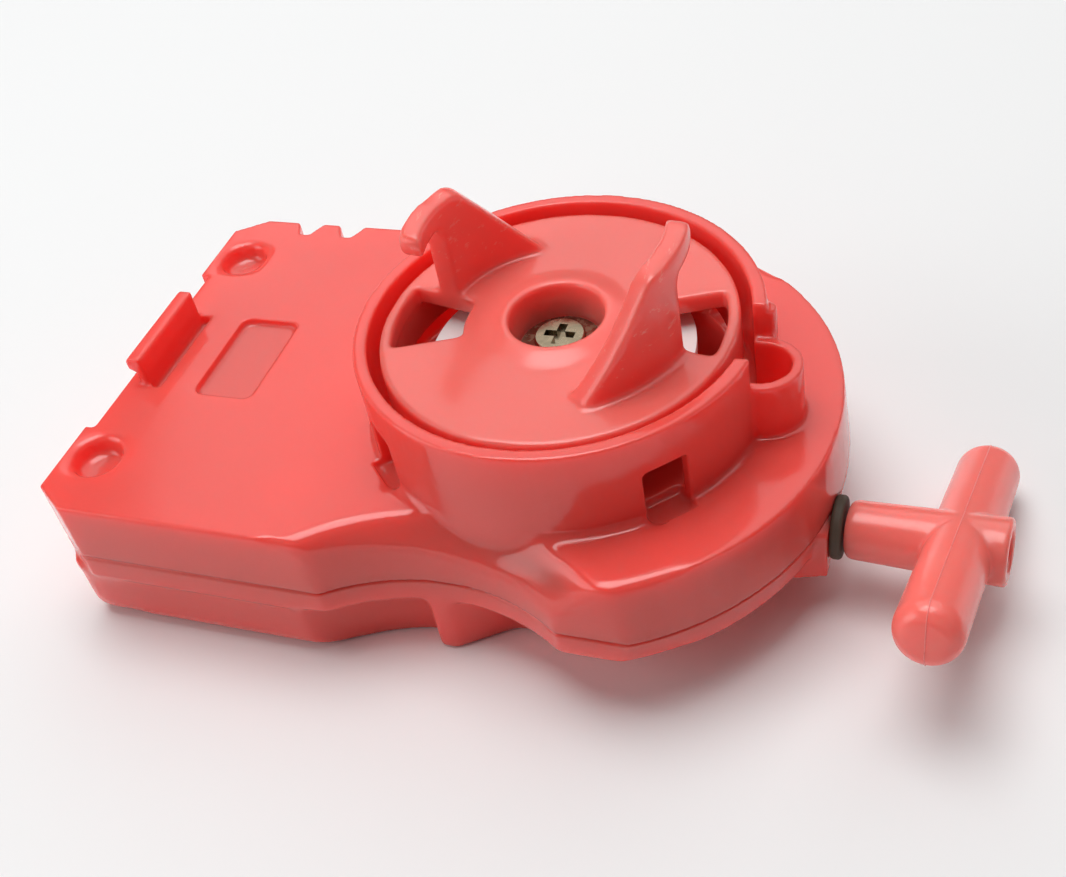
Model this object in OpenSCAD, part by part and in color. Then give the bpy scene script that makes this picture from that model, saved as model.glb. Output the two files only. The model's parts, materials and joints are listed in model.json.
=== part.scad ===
// String launcher for spinning tops, lying on its back.
// A reel with a rewind spring sits in a two-shell case, and drives a launch disc with two hooks.
// Origin on the spin axis at the back face, +X towards the pull handle, +Z towards the hooks.

/* [Case] */
// Height of the deck above the back face
deck_z = 20; // [19.4:0.1:24]
// Height of the joint line between the two shells
joint_z = 11.7; // [11.2:0.1:14]
// Height of the underside of the bottom shell's rim band
band_z = 8.2; // [6.5:0.1:8.6]
// Thickness of the outer walls
wall = 2; // [1.6:0.1:2.4]
// Thickness of the deck
deck_t = 2.2; // [2:0.1:2.4]
// Thickness of the back and of the band's floor
floor_t = 2; // [1.6:0.1:2.4]
// Radius of the head at the joint line
head_r = 31.4; // [31:0.1:35]
// How much the head narrows from the joint line to the deck, and to the band's underside
head_draft = 0.6; // [0:0.1:1.2]
// Distance from the spin axis to the rear end
block_len = 57.4; // [54:0.2:70]
// Width of the block
block_w = 56.4; // [54:0.2:60]
// Length of the rear corner chamfers
corner_x = 4.4; // [2:0.2:6]
// Width of the rear corner chamfers
corner_y = 3; // [1.5:0.1:5]
// Depth of the shallow step across the rear end
rear_step = 1.3; // [0.4:0.1:1.6]
// Width of the shallow step across the rear end
rear_step_w = 30; // [20:0.5:34]

/* [Waist] */
// Distance of the waist behind the spin axis
waist_back = 8; // [6:0.2:10]
// Radius of the waist curve
waist_r = 24.2; // [20:0.2:28]
// Half-width of the case at the waist
waist_half = 23.8; // [23:0.1:25]
// Distance of the deck scoop behind the spin axis
scoop_back = 6; // [4:0.2:8]
// Radius of the deck scoop at the deck
scoop_r = 25; // [22:0.2:28]
// Half-width that the scoop leaves on the deck
scoop_half = 21.1; // [20.8:0.1:22.4]
// Depth of the scoop's cone
scoop_deep = 5; // [3:0.1:6]
// How much the scoop's cone narrows over its depth
scoop_run = 3.5; // [2:0.1:5]

/* [Launch ring] */
// Inner radius of the ring
ring_r = 21.2; // [20.9:0.1:22]
// Wall of the ring
ring_wall = 1.6; // [1.2:0.1:2]
// Height of the ring's rim above the deck
ring_h = 11.3; // [10.8:0.1:13]
// Width of each window in the ring
ring_window_w = 5.2; // [3:0.1:7]
// Top of the windows above the deck
ring_window_top = 6.3; // [4:0.1:8]
// How far the windows cut into the deck
ring_window_sink = 0.8; // [0:0.1:1.2]
// Distance of the side pocket's middle from the ring's inner face
pocket_off = 1.4; // [1:0.1:2]
// Inner radius of the side pocket
pocket_r = 3.1; // [2.6:0.1:3.4]
// Wall of the side pocket
pocket_wall = 1.2; // [0.8:0.1:1.4]
// Height of the pocket's rim above the deck
pocket_h = 7; // [5:0.1:9]
// Radius of the bead at the end of the ring beside the pocket
ring_bead_r = 1; // [0.8:0.1:1.3]

/* [Rear clip and deck marks] */
// Distance of the clip's inner face from the rear end
clip_inset = 4.6; // [4.2:0.1:7]
// Width of the clip
clip_w = 13.6; // [8:0.2:18]
// Wall of the clip
clip_wall = 1.3; // [1:0.1:1.6]
// Height of the clip above the deck
clip_h = 4; // [3.2:0.1:5.5]
// Reach of the clip's lip
clip_lip = 1; // [0.6:0.1:1.4]
// Height of the clip's lip
clip_lip_h = 1.7; // [1:0.1:2.2]
// Width of the slot in front of the clip
clip_slot = 1.5; // [1:0.1:2]
// Depth of the slot in front of the clip
clip_slot_deep = 1.3; // [0.6:0.1:1.4]
// Distance of the peg sockets from the rear end
peg_inset = 4.4; // [4.2:0.1:7]
// Distance of the peg sockets from the middle
peg_y = 19.4; // [16:0.2:21]
// Radius of the peg sockets
peg_r = 3; // [2.4:0.1:3.4]
// Depth of the peg sockets
peg_deep = 2.4; // [1.4:0.1:2.8]
// Distance from the rear end to the front of the deck panel
panel_inset = 18.9; // [14:0.1:22]
// Length of the deck panel
panel_len = 8; // [5:0.5:10]
// Width of the deck panel
panel_w = 14.5; // [8:0.5:20]
// Depth of the deck panel
panel_deep = 0.9; // [0.5:0.1:1.1]
// Distance of the front side notch from the rear end
notch_inset = 17.2; // [14:0.1:20]
// Pitch of the side notches
notch_pitch = 6.3; // [5:0.1:8]
// Width of a side notch at its mouth
notch_w = 3.8; // [2.6:0.1:4.6]
// Width of a side notch at its bottom
notch_in = 1.4; // [0.6:0.1:2.4]
// Depth of a side notch
notch_deep = 2.6; // [1.4:0.1:3]
// Height of a side notch
notch_h = 5.5; // [3:0.1:6]

/* [Back] */
// Step under the rim band to the lower body
undercut = 0.4; // [0.3:0.1:1]
// Radius of the drum under the head
drum_r = 20; // [19.6:0.1:21.5]
// Rounding of the back's edges
back_round = 3; // [1.5:0.1:4]
// Rounding of the lower body's rear corners in plan
back_corner = 3; // [2:0.1:4]
// Extra depth of the waist in the lower body
waist_under = 2.4; // [1.5:0.1:3]
// Front end of the lower block, behind the spin axis
lower_front = 9; // [8:0.2:11]
// Half-width over the rail tabs
tab_half = 24; // [23:0.1:25]
// Length of the rail tabs' outer face
tab_len = 2; // [1.2:0.1:3]
// Length of the rail tabs' slanted flank
tab_flank = 6.5; // [5:0.1:8]

/* [Fasteners] */
// Radius of the case screws' shank
screw_r = 1.15; // [0.9:0.05:1.3]
// Length of the case screws' shank
screw_len = 7; // [5.5:0.1:7.4]
// Radius of the case screws' head
screw_head_r = 2.1; // [1.8:0.05:2.4]
// Height of the case screws' head
screw_head_h = 1.4; // [1:0.1:1.8]
// Wall of the screw posts and bosses
post_wall = 1.1; // [0.8:0.1:1.4]
// Depth of the rear screw heads above the back face
screw_sink = 4; // [3:0.1:5]
// Depth of the front screw heads above the band's underside
front_sink = 0.4; // [0.2:0.1:0.6]
// Distance of the middle screws from the rear end
mid_screw_inset = 30.4; // [24:0.2:32]
// Distance of the middle screws from the middle
mid_screw_y = 20; // [16:0.5:21]
// Radius of the circle that holds the front screws
front_screw_r = 25.6; // [25:0.1:25.8]
// Angle of the front screws from the pull side
front_screw_a = 52; // [35:1:60]

/* [Clearances] */
// Axial gap between pieces that turn
end_gap = 0.2; // [0.1:0.05:0.25]
// Radial gap of a running fit
run_gap = 0.05; // [0.02:0.01:0.1]
// Radial gap of a seated fit
seat_gap = 0.02; // [0.01:0.01:0.05]

/* [Reel and cord] */
// Diameter of the pull cord
cord_d = 1.2; // [0.9:0.1:1.4]
// Radius of the reel's core
core_r = 8; // [7.4:0.1:9]
// Radius of the reel's flanges
reel_r = 14.4; // [14:0.1:15.6]
// Radius of the wound cord
wound_r = 12.6; // [11:0.1:13]
// Width of the reel's groove
groove_w = 3; // [2.6:0.1:3.2]
// Thickness of the reel's lower flange
reel_flange = 0.9; // [0.7:0.1:1.2]
// Thickness of the reel's upper flange, which carries the pawls
carrier_t = 1.4; // [1.2:0.1:1.5]
// Radius of the reel's arbor inside the spring
arbor_r = 5; // [4.8:0.1:5.2]
// Radius of the steel axle
axle_r = 2; // [1.7:0.05:2.2]
// Radius of the boss that holds the axle
axle_boss_r = 3.2; // [3:0.1:3.3]
// Height of the boss that holds the axle
axle_boss_h = 2; // [1:0.1:2.4]
// Depth of the axle's seat left solid under it
axle_floor = 0.9; // [0.6:0.1:1.2]
// Thickness of the axle clip
clip_ring_t = 0.5; // [0.3:0.1:0.6]

/* [Rewind spring] */
// Width of the spring strip
strip_w = 3.1; // [2.6:0.1:3.3]
// Thickness of the spring strip
strip_t = 0.35; // [0.2:0.05:0.45]
// Turns of the spring
strip_turns = 8; // [5:1:9]
// Gap between the arbor and the first turn
strip_gap = 0.5; // [0.4:0.05:0.7]
// Radius of the circle that holds the anchor pin
anchor_at = 15.8; // [15.6:0.1:16]
// Radius of the anchor pin
anchor_r = 0.8; // [0.6:0.05:0.9]
// Thickness of the spring cover
cover_t = 0.8; // [0.6:0.1:1]
// Width of the ledge that carries the spring cover
ledge = 0.9; // [0.6:0.1:1]

/* [One-way drive] */
// Number of teeth in the ratchet cup
teeth = 12; // [6:2:16]
// Radius of the tooth tips
tooth_tip_r = 12.8; // [12.7:0.05:13]
// Radius of the tooth roots
tooth_root_r = 14.6; // [14.4:0.05:14.8]
// Angle from a swung pawl's nose at the tooth tips to the tooth that it drives
tooth_lead = 1.6; // [1.2:0.1:2]
// Wall of the ratchet cup
cup_wall = 1.4; // [1:0.1:2]
// Thickness of the cup's plate
cup_t = 1.2; // [1:0.1:1.4]
// Radius of the pawl pivots' circle
pawl_at = 8.2; // [8:0.05:8.3]
// Radius of the pawl pins
pawl_pin_r = 1; // [0.7:0.05:1.2]
// Radius of the pawls' eyes
pawl_eye_r = 2; // [1.8:0.05:2.1]
// Thickness of the pawls
pawl_t = 1.8; // [1.4:0.1:2]
// Reach of a pawl's nose from its pivot
pawl_reach = 9.6; // [9.4:0.05:9.7]
// Height of the pawl springs
pawl_spring_h = 0.6; // [0.4:0.1:0.8]
// Width of the pawl springs' wire
pawl_wire = 0.5; // [0.3:0.05:0.6]

/* [Launch head] */
// Gap between the launch disc and the ring
disc_gap = 1.2; // [0.6:0.1:2]
// Height of the launch disc's face above the deck
disc_h = 10.6; // [9.8:0.1:11.6]
// Thickness of the launch disc
disc_t = 2.3; // [1.8:0.1:2.8]
// Wall of the launch disc's skirt
skirt_wall = 1.3; // [1:0.1:1.4]
// Depth of the launch disc's skirt
skirt_deep = 6.5; // [4:0.1:7]
// Corner radius of the hexagonal hub under the disc
key_r = 7; // [6.6:0.1:7.2]
// Radius of the screw well at the disc's face
well_r = 5.3; // [4.8:0.1:5.8]
// Radius of the screw well at its bottom
well_in = 4.8; // [4.7:0.1:5]
// Depth of the screw well below the disc's face
well_deep = 4; // [3.6:0.1:4.4]
// Height of the swell round the screw well
swell_h = 0.8; // [0.4:0.1:1.2]
// Radius of the swell at the disc's face
swell_r = 8.6; // [7.6:0.1:9.4]
// Width of the disc's rim outside its windows
slot_rim = 1.4; // [1.4:0.1:2.4]
// Radial width of the disc's windows
slot_w = 8; // [6:0.1:8.2]
// Angle from a hook's foot to the near edge of its window
slot_a0 = 54; // [54:0.5:56]
// Angle from a hook's foot to the far edge of its window
slot_a1 = 87; // [78:1:95]
// Distance of the hooks' inner face from the disc's edge
hook_inset = 7.1; // [6.6:0.1:7.4]
// Radial thickness of the hooks
hook_t = 2.6; // [2.2:0.1:2.8]
// Height of the hooks above the disc's face
hook_h = 12.2; // [11:0.1:14]
// Angle from a hook's foot to the start of its flat top
hook_top_a = 38.5; // [36:0.5:44]
// Angle from a hook's foot to the far side of its stem
hook_stem_a = 53.5; // [52:0.5:53.5]
// Angle from a hook's foot to the end of its beak
hook_tip_a = 79; // [74:0.5:80]
// Height of a hook's beak
hook_beak = 2.9; // [2.6:0.1:3.4]
// Rounding of a hook's beak and of the corner under it
hook_round = 1.2; // [0.8:0.1:1.2]
// Angle of the first hook's foot from the pull side
hook_at = 115.2; // [0:0.2:180]
// Distance of the drive hub's flange from the disc's edge
flange_inset = 5; // [4:0.1:6]
// Thickness of the drive hub's flange
flange_t = 1.4; // [1:0.1:1.8]
// Radius of the drive hub's shaft
shaft_r = 4.5; // [4.2:0.05:4.8]
// Radius of the drive hub's socket outside
socket_r = 8.8; // [8.4:0.1:9.6]
// Depth of the drive hub's socket
socket_deep = 4.4; // [3.4:0.1:4.8]
// Thickness of the drive hub's socket floor
socket_floor = 1.6; // [1.2:0.1:1.8]
// Corner radius of the shaft's hexagonal end
shaft_key_r = 3.8; // [3.5:0.05:3.95]
// Wall of the shaft bush
bush_wall = 1.7; // [1.2:0.1:2.2]
// Radius of the bush's flange
bush_flange_r = 8; // [7.4:0.1:8.6]
// Thickness of the bush's flange
bush_flange_t = 0.8; // [0.6:0.1:0.9]
// How far the bush stands above the deck
bush_proud = 0.4; // [0.2:0.1:0.6]
// Radius of the hub screw
hub_screw_r = 1.5; // [1.2:0.05:1.6]
// Radius of the hub screw's head
hub_head_r = 2.9; // [2.6:0.05:3.1]
// Height of the hub screw's head
hub_head_h = 1.3; // [1.1:0.1:1.5]
// Radius of the hub washer
hub_washer_r = 4.6; // [4.3:0.05:4.65]
// Thickness of the hub washer
hub_washer_t = 0.6; // [0.4:0.1:0.8]
// Corner radius of the hub nut
hub_nut_r = 3.15; // [2.9:0.05:3.3]
// Height of the hub nut
hub_nut_h = 1.8; // [1.5:0.1:2]

/* [Cord exit and pull handle] */
// Distance of the exit face from the spin axis
exit_x = 30.8; // [30.6:0.05:31.6]
// Offset of the cord exit from the middle
exit_y = -5.5; // [-7:0.1:-5]
// Half-size of the exit boss
exit_half = 4; // [3.6:0.1:4.4]
// Length of the cord guide
guide_len = 2.6; // [2.2:0.1:3]
// Outer radius of the cord guide
guide_r = 1.9; // [1.7:0.05:2.1]
// Radius of the holes that the cord runs through
cord_hole_r = 0.85; // [0.8:0.05:1]
// Outer radius of the bumper ring
bumper_r = 3.6; // [3:0.1:3.8]
// Thickness of the bumper ring
bumper_t = 1.3; // [1:0.1:1.8]
// Length of the bumper ring's neck in the case
bumper_neck = 1.1; // [0.8:0.1:1.3]
// Sideways lean of the pull handle at rest, in degrees
pull_yaw = -4.1; // [-5:0.1:0]
// Upward lean of the pull handle at rest, in degrees
pull_pitch = 2.8; // [0:0.1:4]
// Roll of the pull handle at rest, in degrees
pull_roll = 18.8; // [0:0.1:19]
// Gap between the bumper ring and the stem
stem_gap = 0.4; // [0.35:0.05:1]
// Radius of the stem's free end
stem_r = 3.3; // [3:0.05:3.5]
// Radius of the stem at the bar
stem_root_r = 3.75; // [3.5:0.05:3.9]
// Distance from the exit face to the bar
bar_at = 13.7; // [12:0.1:18]
// Radius of the bar
bar_r = 3.6; // [3.2:0.05:3.65]
// Length of the bar
bar_len = 39.2; // [30:0.2:42]
// Rounding of the bar's ends
bar_round = 2; // [1.4:0.1:2.6]
// Reach of the stub beyond the middle of the bar
stub_len = 5.1; // [4.4:0.1:7]
// Radius of the hollow in the stub
hollow_r = 2.3; // [2:0.05:2.6]
// Depth of the hollow in the stub
hollow_deep = 3.8; // [3:0.1:4.2]
// Radius of the cord's stop knot
knot_r = 1.7; // [1.4:0.05:1.9]

/* [Hidden] */
$fn = 96;

// Overlap of cuts past the faces they go through
past = 1;
red = "#f0544f";
white = "#f2f0ee";
steel = "#b9b7ad";
dark = "#3c3a30";
cord_colour = "#e8e6e0";

// Heights of the stack, from the back up
half_w = block_w / 2;
clip_x = block_len - clip_inset;
peg_x = block_len - peg_inset;
panel_x = block_len - panel_inset;
notch_x = block_len - notch_inset;
mid_screw_x = block_len - mid_screw_inset;
pocket_x = ring_r + pocket_off;
disc_r = ring_r - disc_gap;
slot_out = disc_r - slot_rim;
slot_in = slot_out - slot_w;
hook_in = disc_r - hook_inset;
hook_mid_r = hook_in + hook_t / 2;
flange_r = disc_r - flange_inset;
spring_z = floor_t + end_gap;
cover_z = spring_z + strip_w + end_gap;
reel_z = cover_z + cover_t + end_gap;
groove_z = reel_z + reel_flange;
cord_z = groove_z + groove_w / 2;
carrier_z = groove_z + groove_w;
pawl_z = carrier_z + carrier_t + end_gap;
pawl_spring_z = pawl_z + pawl_t + end_gap / 2;
cup_z = pawl_spring_z + pawl_spring_h + end_gap;
pin_z = carrier_z + end_gap;
bush_z = deck_z - deck_t - bush_flange_t;
cup_top = bush_z - end_gap;
hub_z = deck_z + bush_proud + end_gap;
socket_z = hub_z + socket_floor;
flange_top = socket_z + socket_deep;
disc_z = deck_z + disc_h;
well_z = disc_z - well_deep;
screw_seat_z = well_z + hub_washer_t;
shaft_end_z = cup_z + cup_t / 2;
hub_nut_z = cup_z - hub_nut_h;
axle_top = carrier_z + carrier_t + 2 * end_gap + clip_ring_t;
ring_out = ring_r + ring_wall;
ring_root = deck_t - end_gap;
pocket_out = pocket_r + pocket_wall;
drum_in = drum_r - wall;
post_r = screw_head_r + post_wall + end_gap;
waist_y = waist_half + waist_r;
scoop_y = scoop_half + scoop_r;
drum_top = band_z + floor_t;
pilot_r = screw_r + run_gap;

// Screws as [x, y, height of the head's seat side]
rear_screws = [for (s = [-1, 1]) [-peg_x + peg_r, s * peg_y]];
mid_screws = [for (s = [-1, 1]) [-mid_screw_x, s * mid_screw_y]];
front_screws = [for (s = [-1, 1]) front_screw_r * [cos(front_screw_a), s * sin(front_screw_a)]];
back_screws = concat(rear_screws, mid_screws);

// Cord from the winding's side, straight to the bend before the guide
lead_r = wound_r + cord_d / 2 + end_gap;
bend_x = exit_x - bumper_neck - guide_len - cord_d;
bend_far = norm([bend_x, exit_y]);
lead_a = atan2(exit_y, bend_x) - acos(lead_r / bend_far);
lead_from = lead_r * [cos(lead_a), sin(lead_a)];
lead_vec = [bend_x, exit_y] - lead_from;
slot_half = cord_d + 0.4;

// Points of an arc
function arc(c, r, a0, a1, n = 6) = [for (i = [0:n]) c + r * [cos(a0 + (a1 - a0) * i / n), sin(a0 + (a1 - a0) * i / n)]];
// Point at a radius and an angle
function polar(r, a) = r * [cos(a), sin(a)];

// Plan of the block, drawn in by an inset
module block_plan(inset) {
    half = half_w - inset;
    rear = inset - block_len;
    step = rear_step_w / 2 + inset;
    polygon([[0, half], [rear + corner_x, half], [rear, half - corner_y], [rear, step],
        [rear + rear_step, step], [rear + rear_step, -step], [rear, -step],
        [rear, corner_y - half], [rear + corner_x, -half], [0, -half]]);
}

// Waist curves on both sides, grown by an amount
module waist(z0, z1, grow) {
    for (s = [-1, 1])
        translate([-waist_back, s * waist_y, z0 - past])
            cylinder(r = waist_r + grow, h = z1 - z0 + 2 * past);
}

// A level of the case between two heights, with the head's radius at each
module case_level(z0, z1, inset, low_r, high_r) {
    difference() {
        intersection() {
            union() {
                translate([0, 0, z0]) cylinder(r1 = low_r - inset, r2 = high_r - inset, h = z1 - z0);
                translate([0, 0, z0]) linear_extrude(z1 - z0) block_plan(inset);
            }
            translate([-2 * block_len, inset - half_w, z0 - past])
                cube([4 * block_len, block_w - 2 * inset, z1 - z0 + 2 * past]);
        }
        waist(z0, z1, inset);
    }
}

// Cylinder along X from one point to another in plan, at the cord's height
module cord_run(from, vec, r) {
    translate([from[0], from[1], cord_z])
        rotate([0, 90, atan2(vec[1], vec[0])])
            cylinder(r = r, h = norm(vec));
}

// Ring between two radii
module tube(r_in, r_out, z0, z1) {
    difference() {
        translate([0, 0, z0]) cylinder(r = r_out, h = z1 - z0);
        translate([0, 0, z0 - past]) cylinder(r = r_in, h = z1 - z0 + 2 * past);
    }
}

// Sector of a ring between two radii and two angles
module sector(r_in, r_out, a0, a1, z0, z1) {
    far = 2 * r_out;
    intersection() {
        tube(r_in, r_out, z0, z1);
        translate([0, 0, z0 - past]) linear_extrude(z1 - z0 + 2 * past)
            polygon([[0, 0], polar(far, a0), polar(far, (a0 + a1) / 2), polar(far, a1)]);
    }
}

// Cross recess of a screw head, cut down from its top
module cross_recess(r, deep) {
    blade = r / 3;
    translate([-r * 0.6, -blade / 2, -deep]) cube([r * 1.2, blade, deep + past]);
    translate([-blade / 2, -r * 0.6, -deep]) cube([blade, r * 1.2, deep + past]);
}

// Frame of the pull handle: local X along the stem from the exit face
module on_pull() {
    translate([exit_x, exit_y, cord_z]) rotate([0, -pull_pitch, pull_yaw]) children();
}

// Turn of a profile in [radius, distance] about local X
module spun_on_x(points) {
    rotate([0, 90, 0]) rotate_extrude() polygon(points);
}

module rear_clip() {
    lip_x = -clip_wall - clip_lip;
    lip_z = clip_h - clip_lip_h;
    translate([-clip_x, clip_w / 2, deck_z]) rotate([90, 0, 0]) linear_extrude(clip_w)
        polygon([[0, -clip_slot_deep], [0, clip_h], [lip_x + clip_lip / 2, clip_h], [lip_x, clip_h - clip_lip / 2],
            [lip_x, lip_z], [-clip_wall, lip_z - clip_lip / 2], [-clip_wall, -clip_slot_deep]]);
}

module side_notches() {
    for (i = [0, 1])
        translate([-notch_x - i * notch_pitch, half_w, deck_z - notch_h]) linear_extrude(notch_h + past)
            polygon([[-notch_w / 2, past], [-notch_w / 2, 0], [-notch_in / 2, -notch_deep],
                [notch_in / 2, -notch_deep], [notch_w / 2, 0], [notch_w / 2, past]]);
}

module notch_backing() {
    len = notch_pitch + notch_w + 2 * wall;
    translate([-notch_x - notch_pitch - notch_w / 2 - wall, half_w - notch_deep - wall, deck_z - notch_h - wall])
        cube([len, notch_deep + wall / 2, notch_h]);
}

module peg_socket(s) {
    translate([-peg_x, s * peg_y, deck_z - peg_deep]) cylinder(r = peg_r, h = peg_deep + past);
}

module deck_panel() {
    corner = panel_deep * 1.5;
    translate([-panel_x - panel_len, -panel_w / 2, deck_z - panel_deep]) linear_extrude(panel_deep + past)
        polygon(concat(arc([panel_len - corner, panel_w - corner], corner, 0, 90, 4),
            arc([corner, panel_w - corner], corner, 90, 180, 4),
            arc([corner, corner], corner, 180, 270, 4),
            arc([panel_len - corner, corner], corner, 270, 360, 4)));
}

module launch_ring() {
    translate([0, 0, deck_z - ring_root]) cylinder(r = ring_out, h = ring_root + ring_h);
    translate([pocket_x, 0, deck_z - ring_root]) cylinder(r = pocket_out, h = ring_root + pocket_h);
    bead_a = asin((pocket_out + ring_bead_r) / ring_out);
    translate([ring_out * cos(bead_a), ring_out * sin(bead_a), deck_z - ring_root])
        cylinder(r = ring_bead_r, h = ring_root + ring_h - ring_bead_r);
}

module launch_ring_cuts() {
    translate([0, 0, deck_z]) cylinder(r = ring_r, h = ring_h + past);
    translate([pocket_x, 0, deck_z]) cylinder(r = pocket_r, h = ring_h + past);
    translate([ring_r - past, -pocket_r, deck_z]) cube([pocket_x - ring_r + past, 2 * pocket_r, ring_h + past]);
    translate([ring_r - past, -pocket_out, deck_z + pocket_h])
        cube([ring_out - ring_r + 2 * past, 2 * pocket_out, ring_h]);
    for (a = [45:90:315])
        rotate(a) translate([ring_r - past, -ring_window_w / 2, deck_z - ring_window_sink])
            cube([ring_wall + 2 * past, ring_window_w, ring_window_top + ring_window_sink]);
}

module top_bosses() {
    for (p = concat(back_screws, front_screws))
        translate([p[0], p[1], joint_z + end_gap]) cylinder(r = post_r, h = deck_z - deck_t / 2 - joint_z - end_gap);
    for (s = [-1, 1])
        translate([-peg_x, s * peg_y, deck_z - peg_deep - floor_t / 2])
            cylinder(r = peg_r + wall / 2, h = peg_deep);
}

// Height of the bottom face of a screw's head
function back_head_z() = screw_sink;
function front_head_z() = band_z + front_sink;

module screw_pilots(spots, head_z) {
    for (p = spots)
        translate([p[0], p[1], head_z]) cylinder(r = pilot_r, h = screw_head_h + screw_len + end_gap);
}

module top_shell() {
    color(red) difference() {
        union() {
            difference() {
                case_level(joint_z, deck_z, 0, head_r, head_r - head_draft);
                for (s = [-1, 1])
                    translate([-scoop_back, s * scoop_y, deck_z - scoop_deep])
                        cylinder(r1 = scoop_r - scoop_run, r2 = scoop_r, h = scoop_deep);
                case_level(joint_z - past, deck_z - deck_t, wall, head_r, head_r);
            }
            launch_ring();
            rear_clip();
            notch_backing();
            intersection() {
                top_bosses();
                case_level(joint_z - past, deck_z - deck_t / 2, wall / 2, head_r - head_draft, head_r - head_draft);
            }
        }
        launch_ring_cuts();
        translate([0, 0, deck_z - deck_t - past]) cylinder(r = shaft_r + bush_wall + seat_gap, h = deck_t + 2 * past);
        for (s = [-1, 1]) peg_socket(s);
        deck_panel();
        translate([-clip_x, -clip_w / 2, deck_z - clip_slot_deep]) cube([clip_slot, clip_w, clip_slot_deep + past]);
        side_notches();
        exit_face();
        screw_pilots(back_screws, back_head_z());
        screw_pilots(front_screws, front_head_z());
    }
}

// Lower block with rounded edges, drawn in by an inset
module lower_block(inset, z0) {
    half = half_w - undercut - inset;
    rear = undercut + inset - block_len;
    front = -lower_front - inset;
    top = drum_top + past;
    r = back_round;
    side = concat([[-half, top]], arc([r - half, z0 + r], r, 180, 270), arc([half - r, z0 + r], r, 270, 360), [[half, top]]);
    end = concat([[front, top], [rear, top]], arc([rear + r, z0 + r], r, 180, 270), [[front, z0]]);
    k = back_corner;
    plan = concat([[front, half]], arc([rear + k, half - k], k, 90, 180),
        arc([rear + k, k - half], k, 180, 270), [[front, -half]]);
    difference() {
        intersection() {
            translate([rear - past, 0, 0]) rotate([90, 0, 90]) linear_extrude(front - rear + 2 * past) polygon(side);
            translate([0, half + past, 0]) rotate([90, 0, 0]) linear_extrude(2 * half + 2 * past) polygon(end);
            translate([0, 0, z0 - past]) linear_extrude(top - z0 + 2 * past) polygon(plan);
        }
        waist(z0, top, waist_under + inset);
    }
}

module rail_tabs() {
    root = drum_r * sin(60);
    for (s = [0, 1])
        mirror([0, s, 0]) linear_extrude(band_z + floor_t / 2)
            polygon([[-lower_front - tab_len - past, root], [-lower_front - tab_len - past / 2, tab_half - past],
                [-lower_front - tab_len, tab_half], [-lower_front, tab_half],
                [tab_flank - lower_front, drum_r - wall / 4], [tab_flank - lower_front, root]]);
}

module exit_boss() {
    inner_x = drum_r * cos(45);
    translate([0, 0, cord_z - exit_half]) linear_extrude(joint_z - past / 4 - cord_z + exit_half)
        polygon([[exit_x, exit_y - exit_half], [exit_x, exit_y + exit_half],
            [inner_x, exit_y + exit_half], [inner_x, -drum_r * sin(45)]]);
}

module cord_slot() {
    translate([0, 0, cord_z - slot_half]) linear_extrude(joint_z - cord_z + slot_half + past)
        polygon([lead_from - [0, slot_half], [bend_x + cord_d, exit_y - slot_half],
            [bend_x + cord_d, exit_y + slot_half], [lead_from[0], -core_r + slot_half]]);
}

// Flat seat of the bumper ring on the head's wall
module exit_face() {
    cord_run([exit_x, exit_y], [2 * past, 0], bumper_r + end_gap);
}

module bottom_posts() {
    for (p = back_screws)
        translate([p[0], p[1], floor_t / 2]) cylinder(r = post_r, h = joint_z - floor_t / 2);
    for (p = front_screws)
        translate([p[0], p[1], band_z + floor_t / 2]) cylinder(r = post_r, h = joint_z - band_z - floor_t / 2);
}

module head_wells(spots, from_z, head_z) {
    for (p = spots)
        translate([p[0], p[1], from_z - past])
            cylinder(r = screw_head_r + end_gap, h = head_z + screw_head_h - from_z + past);
}

module bottom_shell() {
    color(red) difference() {
        union() {
            difference() {
                union() {
                    case_level(band_z, joint_z, 0, head_r - head_draft, head_r);
                    intersection() {
                        lower_block(0, 0);
                        translate([-2 * block_len, -block_w, 0]) cube([2 * block_len, 2 * block_w, band_z + floor_t / 2]);
                    }
                    cylinder(r = drum_r, h = drum_top);
                    rail_tabs();
                    exit_boss();
                }
                case_level(drum_top, joint_z + past, wall, head_r, head_r);
                difference() {
                    lower_block(wall, floor_t);
                    translate([0, 0, -past]) cylinder(r = drum_r, h = deck_z);
                }
                translate([0, 0, floor_t]) cylinder(r = drum_in, h = deck_z);
                cord_slot();
            }
            tube(drum_in - ledge, drum_in + wall / 2, floor_t / 2, cover_z);
            translate([0, 0, floor_t / 2]) cylinder(r = axle_boss_r, h = floor_t / 2 + axle_boss_h);
            intersection() {
                bottom_posts();
                case_level(0, joint_z, wall / 2, head_r - head_draft, head_r - head_draft);
            }
        }
        cord_run([bend_x, exit_y], [exit_x - bend_x + past, 0], guide_r + seat_gap);
        exit_face();
        translate([0, 0, axle_floor]) cylinder(r = axle_r + seat_gap, h = floor_t + axle_boss_h);
        translate(concat(polar(anchor_at, lead_a), [floor_t / 2])) cylinder(r = anchor_r + seat_gap, h = floor_t);
        head_wells(back_screws, 0, back_head_z());
        head_wells(front_screws, band_z, front_head_z());
        screw_pilots(back_screws, back_head_z());
        screw_pilots(front_screws, front_head_z());
    }
}

module case_screw() {
    difference() {
        union() {
            cylinder(r = screw_head_r, h = screw_head_h);
            translate([0, 0, screw_head_h]) cylinder(r = screw_r, h = screw_len - screw_r);
            translate([0, 0, screw_head_h + screw_len - screw_r]) cylinder(r1 = screw_r, r2 = screw_r / 4, h = screw_r);
        }
        mirror([0, 0, 1]) cross_recess(screw_head_r, screw_head_h / 2);
    }
}

module case_screws() {
    color(steel) {
        for (p = back_screws) translate([p[0], p[1], back_head_z()]) case_screw();
        for (p = front_screws) translate([p[0], p[1], front_head_z()]) case_screw();
    }
}

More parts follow.
